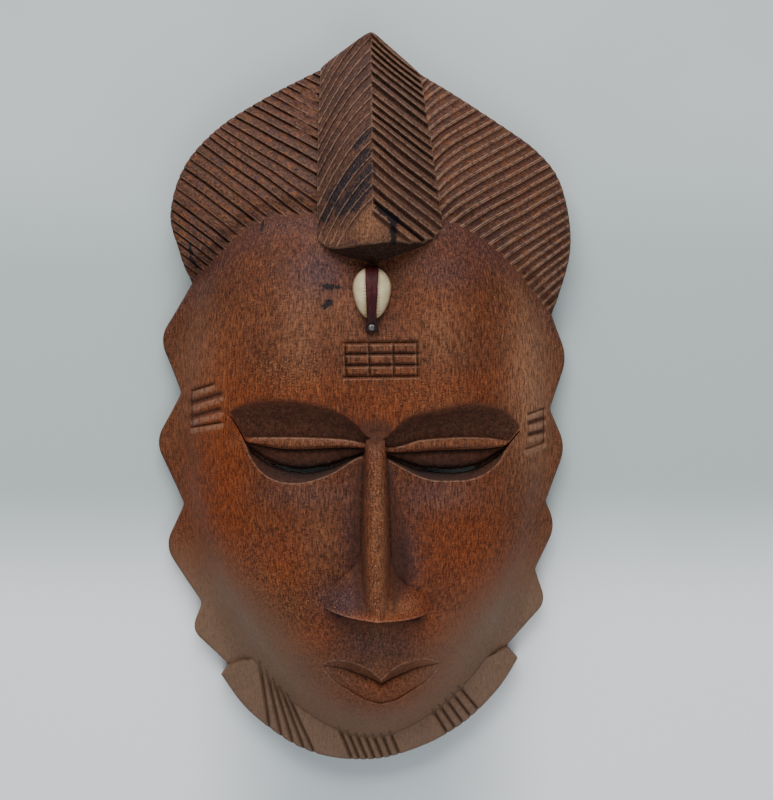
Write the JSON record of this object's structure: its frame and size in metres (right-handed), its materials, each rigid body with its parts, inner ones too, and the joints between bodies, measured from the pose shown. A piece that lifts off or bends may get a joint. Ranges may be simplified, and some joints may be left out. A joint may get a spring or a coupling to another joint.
{
  "type": "carved wooden face mask",
  "caption": "Carved wooden face mask with a scalloped edge, ribbed headdress and crest, and a strapped cowrie on the forehead, to hang on a wall.",
  "frame": {"origin": "middle of the bounding box, on the plane of the mask's back", "axes": "+X to the viewer's right, +Y towards the top of the head, +Z out of the face"},
  "size_m": [0.1748, 0.3034, 0.0597],
  "materials": {
    "wood": "stained and waxed",
    "shell": "natural gloss",
    "leather": "dyed dark red",
    "steel": "dull"
  },
  "bodies": {
    "root": {"carved_mask": "wood", "cowrie_shell": "shell", "leather_strap": "leather", "nail": "steel"}
  },
  "joints": []
}
